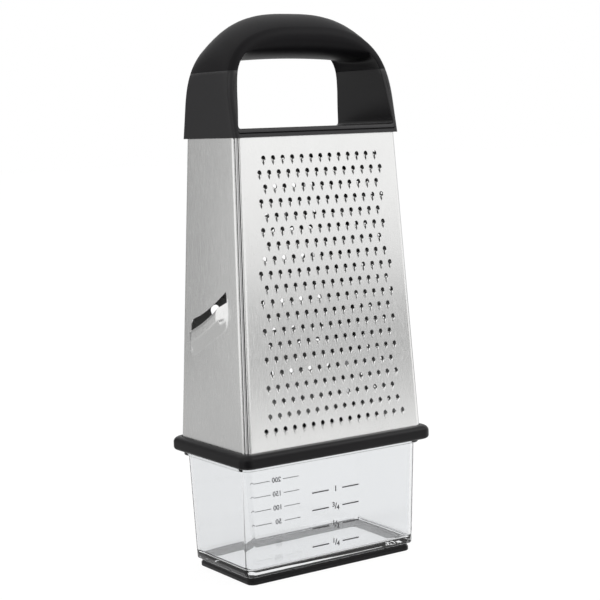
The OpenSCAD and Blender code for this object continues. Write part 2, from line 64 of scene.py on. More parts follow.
def linear(hex_colour):
    """Linear red, green and blue of an sRGB hex colour."""
    parts = [int(hex_colour[i : i + 2], 16) / 255 for i in (1, 3, 5)]
    return [p / 12.92 if p <= 0.04045 else ((p + 0.055) / 1.055) ** 2.4 for p in parts]


def length_property(label, description, default):
    return FloatProperty(
        name=label, description=description, default=default, unit="LENGTH", precision=4
    )


def colour_property(label, description, hex_colour):
    return FloatVectorProperty(
        name=label, description=description, default=linear(hex_colour), subtype="COLOR"
    )


class GraterSettings(PropertyGroup):
    """Sizes and colours of the grater, in the frame's own metres"""

    body_h: length_property("Steel height", "Height of the steel that shows", 0.165)
    top_w: length_property("Top width", "Width of the front at its top", 0.105)
    top_d: length_property("Top depth", "Depth of a narrow side at its top", 0.053)
    bottom_w: length_property("Bottom width", "Width of the front at its foot", 0.1176)
    bottom_d: length_property("Bottom depth", "Depth of a side at its foot", 0.0702)
    sheet: length_property("Sheet thickness", "Thickness of the steel", 0.0005)
    corner_r: length_property("Corner radius", "Radius of the upright corners", 0.0045)
    handle_h: length_property("Handle height", "Height over the steel", 0.066)
    leg_t: length_property("Leg thickness", "Thickness of the handle's legs", 0.0034)
    ring_h: length_property("Ring height", "Height of the soft ring", 0.0077)
    ring_out: length_property("Ring reach", "How far the ring stands out", 0.0042)
    cup_wall: length_property("Container wall", "Thickness of the container", 0.0018)
    steel: colour_property("Steel", "Colour of the satin sheet", "#f3f3f2")
    hard_black: colour_property("Hard plastic", "Colour of the frame", "#171618")
    soft_black: colour_property("Soft grip", "Colour of the soft moulding", "#111012")
    clear: colour_property("Clear plastic", "Tint of the container", "#f0f1f2")
    ink: colour_property("Ink", "Colour of the printed scale", "#4a4a4c")


STEEL_Z = 73.5
CHANNEL_DEPTH = 5.0
CAP_DEPTH = 2.6


def sizes(context):
    """The settings' lengths in millimetres, with the levels that follow from them."""
    group = context.scene.grater
    size = SimpleNamespace()
    for name, prop in group.bl_rna.properties.items():
        if prop.type == "FLOAT" and not prop.is_array:
            setattr(size, name, getattr(group, name) / MM)
    size.ring_z = STEEL_Z - size.ring_h
    size.channel_z = STEEL_Z - CHANNEL_DEPTH
    size.steel_top = STEEL_Z + size.body_h
    size.ceiling = size.steel_top + CAP_DEPTH
    size.wide_slope = (size.bottom_d - size.top_d) / 2 / size.body_h
    size.narrow_slope = (size.bottom_w - size.top_w) / 2 / size.body_h
    return size


# Nodes and materials


def add_node(tree, kind, inputs=None, **settings):
    """Add a node with its settings, its plain inputs and its links."""
    made = tree.nodes.new(kind)
    for key, value in settings.items():
        setattr(made, key, value)
    for key, value in (inputs or {}).items():
        if isinstance(value, bpy.types.NodeSocket):
            tree.links.new(value, made.inputs[key])
        else:
            made.inputs[key].default_value = value
    return made


def empty_tree(data):
    """The node tree of a material or a world, with nothing in it."""
    data.use_nodes = True
    data.node_tree.nodes.clear()
    return data.node_tree


def surface_material(name, kind, inputs=None):
    """A material with one shader, and the shader."""
    material = bpy.data.materials.new(name)
    tree = empty_tree(material)
    shader = add_node(tree, kind, inputs)
    add_node(tree, "ShaderNodeOutputMaterial", {"Surface": shader.outputs[0]})
    return material, shader


class Finish:
    """A material and the grain, tint and relief that its shader is given."""

    def __init__(self, name, **plain):
        inputs = {key.replace("_", " "): value for key, value in plain.items()}
        made = surface_material(name, "ShaderNodeBsdfPrincipled", inputs)
        self.material, self.shader = made
        self.tree = self.material.node_tree

    def feed(self, socket, value):
        self.tree.links.new(value, self.shader.inputs[socket])

    def grain(self, size_mm, stretch=(1, 1, 1), detail=2.0):
        """Noise on object coordinates, its grains size_mm across before stretching."""
        place = add_node(self.tree, "ShaderNodeTexCoord").outputs["Object"]
        inputs = {"Vector": place, "Scale": [1 / (size_mm * MM * s) for s in stretch]}
        scaled = add_node(self.tree, "ShaderNodeMapping", inputs).outputs["Vector"]
        inputs = {"Vector": scaled, "Scale": 1.0, "Detail": detail}
        return add_node(self.tree, "ShaderNodeTexNoise", inputs).outputs["Fac"]

    def tint(self, factor, colour, other):
        """Let the colour wander between two tones."""
        tones = {"Factor": factor, 6: (*colour, 1), 7: (*other, 1)}
        mixed = add_node(self.tree, "ShaderNodeMix", tones, data_type="RGBA")
        self.feed("Base Color", mixed.outputs[2])

    def roughen(self, factor, low, high):
        """Let the roughness wander from low to high."""
        spread = {"Value": factor, 1: 0.3, 2: 0.7, "To Min": low, "To Max": high}
        made = add_node(self.tree, "ShaderNodeMapRange", spread)
        self.feed("Roughness", made.outputs["Result"])

    def bump(self, height, depth_mm, strength):
        relief = {"Height": height, "Distance": depth_mm * MM, "Strength": strength}
        made = add_node(self.tree, "ShaderNodeBump", relief)
        self.feed("Normal", made.outputs["Normal"])


def toned(colour, share):
    return [c * share for c in colour]


def satin_sheet(name, colour, rough, streak_depth):
    """Cold-rolled stainless sheet with a satin grain that runs up the sides.
    The streaks are 0.25 mm wide and blur what it mirrors upwards."""
    made = Finish(name, Metallic=1.0)
    streaks = made.grain(0.25, (1, 1, 160), 3.0)
    made.tint(made.grain(18, (1, 1, 2)), colour, toned(colour, 0.93))
    made.roughen(streaks, rough - 0.03, rough + 0.05)
    made.bump(streaks, streak_depth, 0.5)
    return made


def bright_strip_steel(name, colour):
    """Stainless strip rolled bright: it mirrors sharply, with faint drawing lines."""
    made = Finish(name, Metallic=1.0)
    lines = made.grain(0.4, (1, 1, 400), 1.0)
    made.tint(lines, colour, toned(colour, 0.95))
    made.roughen(lines, 0.12, 0.2)
    return made


def plated_screw_steel(name):
    """Zinc-plated steel: a bluish, slightly cloudy shine."""
    made = Finish(name, Metallic=1.0)
    clouds = made.grain(1.5)
    made.tint(clouds, linear("#c3c6c8"), linear("#a9adb0"))
    made.roughen(clouds, 0.25, 0.4)
    return made


def moulded(name, colour, rough, grain_mm, depth_mm, shine):
    """Black moulding from a spark-eroded tool: a fine even grain dulls its shine."""
    made = Finish(name, IOR=1.5, Specular_IOR_Level=shine)
    texture = made.grain(grain_mm)
    made.tint(made.grain(14), colour, toned(colour, 1.25))
    made.roughen(texture, rough - 0.04, rough + 0.05)
    made.bump(texture, depth_mm, 0.35)
    return made


def clear_moulding(name, colour):
    """Clear styrene-acrylonitrile, moulded in a polished tool: its thick edges
    gather light, and a very slight waviness bends what is behind it."""
    tint = (*colour, 1)
    made = Finish(name, Base_Color=tint, Transmission_Weight=1.0, IOR=1.49)
    waves = made.grain(22, (1, 1, 1), 1.0)
    made.roughen(waves, 0.0, 0.02)
    made.bump(waves, 0.05, 0.2)
    return made


def screen_ink(name, colour):
    """Screen-printed ink: a flat matt film, a little thinner in places."""
    made = Finish(name)
    thin = made.grain(0.6)
    made.tint(thin, colour, toned(colour, 1.4))
    made.roughen(thin, 0.5, 0.65)
    return made


def material_called(name):
    """Make each finish once and find it again by its name."""
    group = bpy.context.scene.grater
    steel, hard, soft = group.steel, group.hard_black, group.soft_black
    maker, *looks = {
        "satin_stainless_sheet": (satin_sheet, steel, 0.23, 0.0015),
        # The inner faces are rougher, and their colour is the steel's toned down to
        # 0.35: painted shade for the inside of the box.
        "dull_inner_sheet": (satin_sheet, toned(steel, 0.35), 0.5, 0.004),
        "bright_stainless_strip": (bright_strip_steel, linear("#cfcfcf")),
        "zinc_plated_steel": (plated_screw_steel,),
        "moulded_hard_plastic": (moulded, hard, 0.36, 0.35, 0.02, 0.3),
        "soft_overmould": (moulded, soft, 0.46, 0.45, 0.025, 0.1),
        "soft_ring_moulding": (moulded, soft, 0.4, 0.5, 0.02, 0.2),
        "clear_moulded_plastic": (clear_moulding, group.clear),
        "printed_scale_ink": (screen_ink, group.ink),
        # The far scale's ink is the same ink toned five times lighter: painted light,
        # for the haze it is seen through behind the container's walls.
        "printed_far_scale_ink": (screen_ink, toned(group.ink, 5)),
    }[name]
    return bpy.data.materials.get(name) or maker(name, *looks).material


# Meshes, written in millimetres


def shade(mesh, angle):
    """Smooth a mesh, but not over edges that turn by more than an angle."""
    mesh.shade_smooth()
    mesh.set_sharp_from_angle(angle=math.radians(angle))


def link(obj):
    bpy.context.scene.collection.objects.link(obj)
    return obj


def add_object(name, verts, faces, materials, angle=35):
    """Add an object whose mesh is given in millimetres."""
    mesh = bpy.data.meshes.new(name)
    mesh.from_pydata([Vector(v) * MM for v in verts], [], faces)
    for material in materials:
        mesh.materials.append(material_called(material))
    shade(mesh, angle)
    return link(bpy.data.objects.new(name, mesh))


@contextmanager
def editing(mesh):
    """Open a mesh for editing and write it back."""
    work = bmesh.new()
    work.from_mesh(mesh)
    yield work
    work.to_mesh(mesh)
    work.free()


def face_outwards(obj):
    with editing(obj.data) as work:
        bmesh.ops.recalc_face_normals(work, faces=work.faces)


def evaluated_mesh(obj):
    graph = bpy.context.evaluated_depsgraph_get()
    return bpy.data.meshes.new_from_object(obj.evaluated_get(graph))


def discard(obj):
    bpy.data.objects.remove(obj)


def apply_modifier(obj, kind, **settings):
    """Give an object a modifier and make its result the object's own mesh."""
    modifier = obj.modifiers.new(kind, kind)
    for key, value in settings.items():
        setattr(modifier, key, value)
    result = evaluated_mesh(obj)
    obj.modifiers.clear()
    obj.data = result


def finish_piece(obj, body, slot, *nodes):
    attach(obj, body)
    if nodes:
        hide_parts(*nodes)


def rounded_ring(width, depth, radius, z, steps):
    """Points of a rounded rectangle at a height, anticlockwise from above."""
    points = []
    for corner, (x, y) in enumerate(((1, 1), (-1, 1), (-1, -1), (1, -1))):
        centre = (x * (width / 2 - radius), y * (depth / 2 - radius))
        around = arc(centre, radius, 90 * corner, 90 * (corner + 1), steps)
        points += [(*p, z) for p in around]
    return points


def add_rounded(name, rings, steps, finish, closed=True):
    """Add an object whose skin runs over rounded rectangles."""
    parts = skin([rounded_ring(*ring, steps) for ring in rings], closed)
    return add_object(name, *parts, finish, 40)


def skin(rings, closed=False):
    """Vertices and faces of a skin over rings with the same number of points."""
    n = len(rings[0])
    count = len(rings)
    verts = [p for ring in rings for p in ring]
    faces = []
    for j in range(count if closed else count - 1):
        k = (j + 1) % count
        for i in range(n):
            m = (i + 1) % n
            faces.append((j * n + i, j * n + m, k * n + m, k * n + i))
    if not closed:
        faces.append(tuple(range(n - 1, -1, -1)))
        faces.append(tuple((count - 1) * n + i for i in range(n)))
    return verts, faces


def arc(centre, radius, start, end, steps):
    """Points along an arc, with angles in degrees."""
    x, y = centre
    angles = [math.radians(start + (end - start) * i / steps) for i in range(steps + 1)]
    return [(x + radius * math.cos(a), y + radius * math.sin(a)) for a in angles]


def mix(a, b, share):
    return a + (b - a) * share


def smooth(share):
    share = min(1.0, max(0.0, share))
    return share * share * (3 - 2 * share)


def turned(point, degrees):
    c, s = math.cos(math.radians(degrees)), math.sin(math.radians(degrees))
    return (point[0] * c - point[1] * s, point[0] * s + point[1] * c)


# Steel. Between the sides' rolled edges a strip closes each corner

STRIP_W = 1.8
STRIP_ANGLE = 40.0
SEAM = 0.3
BEND_R = 0.6
FOLD = 3.0
HOOK = 0.7


class Wall:
    """One steel side: x to the right as seen from outside, y up it and z out."""

    def __init__(self, size, turn):
        wide = turn % 180 == 0
        slope = size.wide_slope if wide else size.narrow_slope
        gap = (size.bottom_d if wide else size.bottom_w) / 2
        self.lean = math.atan(slope)
        self.slope = size.narrow_slope if wide else size.wide_slope
        self.half = (size.bottom_w if wide else size.bottom_d) / 2
        self.edge_angle = STRIP_ANGLE if wide else 90 - STRIP_ANGLE
        self.edge_angle += math.degrees((STRIP_W / 2 + SEAM) / size.corner_r)
        spin = Matrix.Rotation(math.radians(turn), 4, "Z")
        shift = Matrix.Translation((0, -gap, STEEL_Z))
        tilt = Matrix.Rotation(math.radians(90) - self.lean, 4, "X")
        self.matrix = spin @ shift @ tilt
        self.edge = Vector((-self.slope, math.sqrt(1 + slope * slope), 0)).normalized()
        self.right = Vector((self.edge.y, -self.edge.x, 0))

    def corner_rows(self, section, heights):
        """Rows of a corner's section, cut level at each height, in the wall's axes."""
        rows = []
        rise = math.cos(self.lean)
        for height in heights:
            row = []
            for x, y in section:
                base = Vector((self.half, 0, y)) + self.right * x
                at = STEEL_Z + rise * base.y + math.sin(self.lean) * base.z
                row.append(base + self.edge * ((height - at) / (rise * self.edge.y)))
            rows.append(row)
        return rows

    def placed(self, points):
        return [self.matrix @ Vector(p) for p in points]


def bend(corner_r):
    """Points of the bend where a sheet turns in from the corner's arc."""
    lean = math.degrees(math.asin(BEND_R / (corner_r - BEND_R)))
    centre = ((corner_r - BEND_R) * math.cos(math.radians(lean)), BEND_R)
    return lean, arc(centre, BEND_R, lean, -90, 6)


def rolled_section(corner_r, edge_angle):
    """Outer face of a sheet's edge: the corner's arc, the bend and the fold."""
    lean, points = bend(corner_r)
    around = [(-0.5, corner_r)] + arc((0, 0), corner_r, 90, edge_angle + lean, 8)
    inwards = [turned(p, edge_angle) for p in points[1:] + [(corner_r - FOLD, 0)]]
    return [(x - corner_r, y - corner_r) for x, y in around + inwards]


def strip_section(corner_r, sheet):
    """Closed section of a corner strip, from its bright face down to its hooks."""
    half = math.degrees(STRIP_W / 2 / corner_r)
    lean, points = bend(corner_r)
    leg = corner_r - FOLD - 0.1
    points += [(leg, 0), (leg, -HOOK), (leg - sheet, -HOOK)]
    side = [turned(p, -half) for p in points]
    face = arc((0, 0), corner_r, half - lean, lean - half, 4)[1:-1]
    loop = face + side + [(x, -y) for x, y in reversed(side)]
    spun = [turned(p, STRIP_ANGLE) for p in loop]
    return [(x - corner_r, y - corner_r) for x, y in spun]


class Tooth:
    """A punched tooth: a round hole with a lip below that rises to a sharp edge."""

    SHOULDER = 0.25
    MARGIN = 0.35

    def __init__(self, name, hole_r, length, rise, steps):
        self.wide = hole_r + self.SHOULDER
        self.hole_r = hole_r
        self.length = length
        self.rise = rise
        n = 4 * steps
        rim, foot = [], []
        for k in range(n):
            a = 2 * math.pi * k / n
            rim.append((hole_r * math.cos(a), hole_r * math.sin(a)))
            if k <= n // 2:
                foot.append((self.wide * math.cos(a), self.wide * math.sin(a)))
            else:
                q = (k - n // 2) if k <= 3 * n // 4 else (n - k)
                down = length * (q / steps) ** 1.3
                side = -1 if k < 3 * n // 4 else 1
                foot.append((side * self.half_width(down), -down))
        rings = [
            [(mix(r[0], f[0], s), mix(r[1], f[1], s)) for r, f in zip(rim, foot)]
            for s in (0, 0.3, 0.65, 1)
        ]
        hub = Vector((0, -0.3 * length))
        self.loop = [
            Vector(f) + self.MARGIN * (Vector(f) - hub).normalized() for f in foot
        ]
        rings.append([tuple(p) for p in self.loop])
        verts = [(x, y, self.height(x, -y)) for ring in rings for x, y in ring]
        faces = []
        for j in range(0, n * (len(rings) - 1), n):
            for i in range(n):
                m = (i + 1) % n
                faces.append((j + i, j + n + i, j + n + m, j + m))
        self.object = add_object(name, verts, faces, [], 80)

    def half_width(self, down):
        return self.wide * max(0.0, 1 - down / self.length) ** 0.7

    def height(self, x, down):
        """How high the lip stands: most at the hole, and less to its sides and foot."""
        wide = self.half_width(down)
        if down <= 0 or wide <= abs(x) + 1e-6:
            return 0.0
        mouth = min(1.0, down / (0.8 * self.hole_r)) ** 0.8
        fade = 1 - max(0.0, down - self.hole_r) / (self.length - self.hole_r)
        return self.rise * mouth * fade**0.9 * (1 - (x / wide) ** 2) ** 0.75


PLAIN_ENDS = 20.0


def tooth_places(size, wall, pitch, row, margin):
    """Staggered places for teeth, row after row down a side, clear of its edges."""
    rows = int((size.body_h - PLAIN_ENDS) // row)
    places = []
    for i in range(rows + 1):
        up = size.body_h / 2 + (rows / 2 - i) * row
        shift = i % 2 / 2
        most = math.floor((wall.half - wall.slope * up - margin) / pitch - shift)
        across = range(int(-most - 2 * shift), most + 1)
        places += [((j + shift) * pitch, up) for j in across]
    return places


def repeat_tree():
    """Geometry nodes that set one object on every point, turned."""
    name = "Repeat on points"
    if name in bpy.data.node_groups:
        return bpy.data.node_groups[name]
    tree = bpy.data.node_groups.new(name, "GeometryNodeTree")
    for label, in_out, kind in (
        ("Points", "INPUT", "Geometry"),
        ("Piece", "INPUT", "Object"),
        ("Turn", "INPUT", "Vector"),
        ("Finish", "INPUT", "Material"),
        ("Geometry", "OUTPUT", "Geometry"),
    ):
        tree.interface.new_socket(label, in_out=in_out, socket_type="NodeSocket" + kind)
    given = add_node(tree, "NodeGroupInput").outputs
    piece = add_node(tree, "GeometryNodeObjectInfo", {"Object": given["Piece"]})
    turn = add_node(tree, "FunctionNodeEulerToRotation", {"Euler": given["Turn"]})
    inputs = {
        "Points": given["Points"],
        "Instance": piece.outputs["Geometry"],
        "Rotation": turn.outputs["Rotation"],
    }
    geometry = add_node(tree, "GeometryNodeInstanceOnPoints", inputs).outputs[0]
    inputs = {"Geometry": geometry}
    geometry = add_node(tree, "GeometryNodeRealizeInstances", inputs).outputs[0]
    inputs = {"Geometry": geometry, "Material": given["Finish"]}
    geometry = add_node(tree, "GeometryNodeSetMaterial", inputs).outputs[0]
    add_node(tree, "NodeGroupOutput", {"Geometry": geometry})
    return tree


def repeated(piece, places, turn, material):
    """Plain object of piece set at every place, given in millimetres."""
    carrier = add_object(piece.name + "_places", places, [], [])
    modifier = carrier.modifiers.new("Repeat", "NODES")
    modifier.node_group = repeat_tree()
    finish = material_called(material)
    values = {"Piece": piece, "Turn": tuple(turn), "Finish": finish}
    for item in modifier.node_group.interface.items_tree:
        if item.name in values:
            modifier[item.identifier] = values[item.name]
    mesh = evaluated_mesh(carrier)
    discard(carrier)
    made = link(bpy.data.objects.new(piece.name + "_all", mesh))
    discard(piece)
    return made


def flat_sheet(outline, holes):
    """Triangles of a flat sheet with convex holes: a face is in a hole where all its
    corners are on that hole's loop."""
    points, owner, edges = [], [], []
    for number, loop in enumerate([outline, *holes], -1):
        start, n = len(points), len(loop)
        points += [Vector(p) for p in loop]
        owner += [number] * n
        edges += [(start + i, start + (i + 1) % n) for i in range(n)]
    verts, _, faces, source, _, _ = delaunay_2d_cdt(points, edges, [], 1, 1e-6)
    owners = [owner[s[0]] if s else -1 for s in source]
    kept = []
    for face in faces:
        around = {owners[v] for v in face}
        if len(around) > 1 or -1 in around:
            kept.append(face)
    return [(v.x, v.y, 0) for v in verts], kept


def sheet_parts(size, wall, holes):
    """Vertices and faces of a side with its rolled edges, in the wall's axes."""
    heights = (size.channel_z, size.ceiling - 0.3)
    section = rolled_section(size.corner_r, wall.edge_angle)
    low, high = wall.corner_rows(section, heights)
    corners = ((-1, low[0]), (1, low[0]), (1, high[0]), (-1, high[0]))
    verts, faces = flat_sheet([(side * p.x, p.y) for side, p in corners], holes)
    n = len(section)
    for side in (1, -1):
        start = len(verts)
        verts += [(side * p.x, p.y, p.z) for p in low + high]
        for i in range(start, start + n - 1):
            faces.append((i, i + 1, i + n + 1, i + n)[::side])
    return verts, faces


def add_sheet(size, wall, node, verts, faces, places=(), tooth=None):
    """Add a side, welded to its teeth and as thick as its sheet."""
    # The second finish goes on the sheet's inner face and carries painted shade.
    finishes = ["satin_stainless_sheet", "dull_inner_sheet"]
    side = add_object(node + "_sheet", wall.placed(verts), faces, finishes)
    with editing(side.data) as work:
        if tooth:
            points = wall.placed([(x, y, 0) for x, y in places])
            turn = wall.matrix.to_euler()
            teeth = repeated(tooth.object, points, turn, finishes[0])
            work.from_mesh(teeth.data)
            discard(teeth)
        for face in work.faces:
            face.material_index = 0
        bmesh.ops.remove_doubles(work, verts=work.verts, dist=0.004 * MM)
    apply_modifier(
        side, "SOLIDIFY", thickness=size.sheet * MM, offset=-1, material_offset=1
    )
    shade(side.data, 40)
    finish_piece(side, "grater", "steel_sheet", node)


# The slicer's sizes along its blade, and up and down from the blade's edge

SLICER_HALF = 21.3
SLICER_ANGLE = 27.0
SLICER_CENTRE = (-2.3, 69.2)
SLICER_RISE = 3.4
SLOT = 6.8
SLOT_END = 2.6
EDGE_BEVEL = (0.7, 0.4)
BLADE_BOW = 2.2
LAND = 6.5
RUN = 14.0
CHEEK = 5.0
PATCH_TOP = 8.5
PATCH_LOW = -16.0
PATCH_HALF = 24.2


def slicer_point(u, v, z=0):
    """Point of the slicer: u along the blade, v straight up from its edge."""
    bow = -BLADE_BOW * max(0.0, 1 - (u / SLICER_HALF) ** 2)
    if v > SLOT:
        bow *= (PATCH_TOP - v) / (PATCH_TOP - SLOT)
    elif v < -LAND:
        bow *= (v - PATCH_LOW) / (-LAND - PATCH_LOW)
    angle = math.radians(SLICER_ANGLE)
    x, y = SLICER_CENTRE
    return (x + u * math.cos(angle), y + u * math.sin(angle) + v + bow, z)


def slicer_height(u, v):
    """How high the land and its ramps stand, less what is ground off the edge."""
    along = min(1.0, max(0.0, (SLICER_HALF - abs(u)) / CHEEK))
    across = 1 if v > -LAND else smooth((v + RUN) / (RUN - LAND))
    ground = EDGE_BEVEL[1] * max(0.0, 1 + v / EDGE_BEVEL[0])
    return (SLICER_RISE - ground) * along * across


def slot_top(u):
    """How high the slot's upper edge is over the blade."""
    past = max(0.0, abs(u) - (SLICER_HALF - SLOT_END)) / SLOT_END
    return SLOT * math.sqrt(max(0.0, 1 - past * past))


def slicer_patch():
    """Raised land, ramp and slot of the slicer, with the patch's outline."""
    cheek = [SLICER_HALF - CHEEK * i / 8 for i in range(9)]
    inner = [cheek[-1] * (1 - i / 7) for i in range(1, 8)]
    half = [PATCH_HALF, mix(SLICER_HALF, PATCH_HALF, 0.5)] + cheek + inner
    columns = [-u for u in half] + half[-2::-1]
    lows = [PATCH_LOW, -15.0] + [mix(-RUN, -LAND, i / 10) for i in range(11)]
    lows += [mix(-LAND, -EDGE_BEVEL[0], i / 4) for i in range(1, 5)] + [0]
    ups = [0, 0.25, 0.6, 1]
    verts, faces = [], []
    for rows in (lows, ups):
        start, n = len(verts), len(rows)
        for u in columns:
            for v in rows:
                if rows is lows:
                    verts.append(slicer_point(u, v, slicer_height(u, v)))
                else:
                    verts.append(slicer_point(u, mix(slot_top(u), PATCH_TOP, v)))
        for i in range(len(columns) - 1):
            for a in range(start + i * n, start + i * n + n - 1):
                faces.append((a, a + n, a + n + 1, a + 1))
    edge = lows[1:] + [mix(0, PATCH_TOP, v) for v in ups[1:-1]]
    around = [(u, PATCH_LOW) for u in columns] + [(PATCH_HALF, v) for v in edge]
    around += [(u, PATCH_TOP) for u in reversed(columns)]
    around += [(-PATCH_HALF, v) for v in reversed(edge)]
    return verts, faces, [slicer_point(u, v)[:2] for u, v in around]


class GRATER_OT_toothed_sides(Operator):
    """Make the front, back and right sides with their punched teeth"""

    bl_idname = "grater.toothed_sides"
    bl_label = "Toothed Sides"

    def execute(self, context):
        size = sizes(context)
        medium = Tooth("medium_tooth", 1.25, 4.0, 1.15, 4)
        coarse = Tooth("coarse_tooth", 2.9, 8.0, 2.3, 6)
        fine = Tooth("fine_tooth", 0.8, 2.6, 0.9, 3)
        for node, turn, tooth, pitch, row, margin in (
            ("front_panel", 0, medium, 6.06, 7.56, 12.6),
            ("back_panel", 180, coarse, 11.6, 13.4, 14.5),
            ("right_panel", 90, fine, 5.0, 6.0, 9.0),
        ):
            wall = Wall(size, turn)
            places = tooth_places(size, wall, pitch, row, margin)
            holes = [[(x + p.x, y + p.y) for p in tooth.loop] for x, y in places]
            parts = sheet_parts(size, wall, holes)
            add_sheet(size, wall, node, *parts, places, tooth)
        return {"FINISHED"}


class GRATER_OT_slicer_side(Operator):
    """Make the left side with its slicing blade"""

    bl_idname = "grater.slicer_side"
    bl_label = "Slicer Side"

    def execute(self, context):
        size = sizes(context)
        wall = Wall(size, -90)
        patch_verts, patch_faces, loop = slicer_patch()
        verts, faces = sheet_parts(size, wall, [loop])
        faces += [tuple(len(verts) + v for v in face) for face in patch_faces]
        add_sheet(size, wall, "left_panel", verts + patch_verts, faces)
        return {"FINISHED"}


class GRATER_OT_corner_strips(Operator):
    """Make the four bright strips that close the corners"""

    bl_idname = "grater.corner_strips"
    bl_label = "Corner Strips"

    def execute(self, context):
        size = sizes(context)
        wall = Wall(size, 0)
        section = strip_section(size.corner_r, size.sheet)
        rows = wall.corner_rows(section, (size.channel_z, size.ceiling - 0.2))
        rows = [wall.placed(row) for row in rows]
        finish = ["bright_stainless_strip"]
        for node, x, y in (
            ("front_right_strip", 1, 1),
            ("front_left_strip", -1, 1),
            ("back_right_strip", 1, -1),
            ("back_left_strip", -1, -1),
        ):
            rings = [[(x * p.x, y * p.y, p.z) for p in row][:: x * y] for row in rows]
            strip = add_object(node + "_bright", *skin(rings), finish, 50)
            face_outwards(strip)
            finish_piece(strip, "grater", "bright_strip", node)
        return {"FINISHED"}


# Handle. Heights are over the top of the visible steel. Its crest and its rim are
# bows, squared-off arcs; a share runs from -1 at its back edge to 1 at its front

EDGE_SHARE = 0.89
EDGE_R = 2.7
SHOULDER = 13.6
CROWN = 9.8
EDGE_SQUARE = 2.92
CREST_SQUARE = 2.77
CAP_H = 4.6
CAP_REACH = 2.4
OPENING_H = 37.2
LEAN_H = 24.0
LEG_LEAN = 2.4
ROOF_DROP = 2.0
OPENING_R = 2.0
RIM_DROP = 4.0
SPLIT_H = 35.0
GRIP_D = 37.0
FLARE_H = 57.0
FLARE_POWER = 1.3
INNER_EDGE = 0.022
RIM_FILLET = 0.6
RIM_LEAN = 1.95
RIM_SPREAD = 0.4
LEAN_TOP = 26.0
LEAN_END = 48.0
GROOVE = 0.5
GROOVE_IN = 2.65
GROOVE_HALF = 0.45


def ease(share, start):
    """A quarter circle's fall, from 0 at the start share to 1 at a share of 1."""
    past = max(0.0, (abs(share) - start) / (1 - start))
    return 1 - math.sqrt(max(0.0, 1 - past * past))


def between(a, b, share):
    return (mix(a[0], b[0], share), mix(a[1], b[1], share))


def bow_angle(bow, up):
    if up <= SHOULDER:
        return 0.0
    return math.degrees(math.asin(((up - SHOULDER) / bow[1]) ** (1 / bow[2])))


def bow_point(bow, angle):
    across, up = math.cos(math.radians(angle)), math.sin(math.radians(angle))
    across, up = (math.copysign(abs(v) ** bow[2], v) for v in (across, up))
    return (bow[0] * across, SHOULDER + bow[1] * up)


def over_bow(bow, share):
    start = bow_angle(bow, SPLIT_H)
    return bow_point(bow, mix(start, 180 - start, share))


def beside_bow(bow, up):
    return bow_point(bow, bow_angle(bow, up))[0]


def rim_lean(up):
    """How far the opening's edge leans in from straight at a height."""
    if up > LEAN_TOP:
        return RIM_LEAN * (1 - smooth((up - LEAN_TOP) / (LEAN_END - LEAN_TOP)))
    share = max(0.0, up - CAP_H) / (LEAN_TOP - CAP_H)
    return mix(-RIM_SPREAD, RIM_LEAN, math.sin(math.pi / 2 * share))


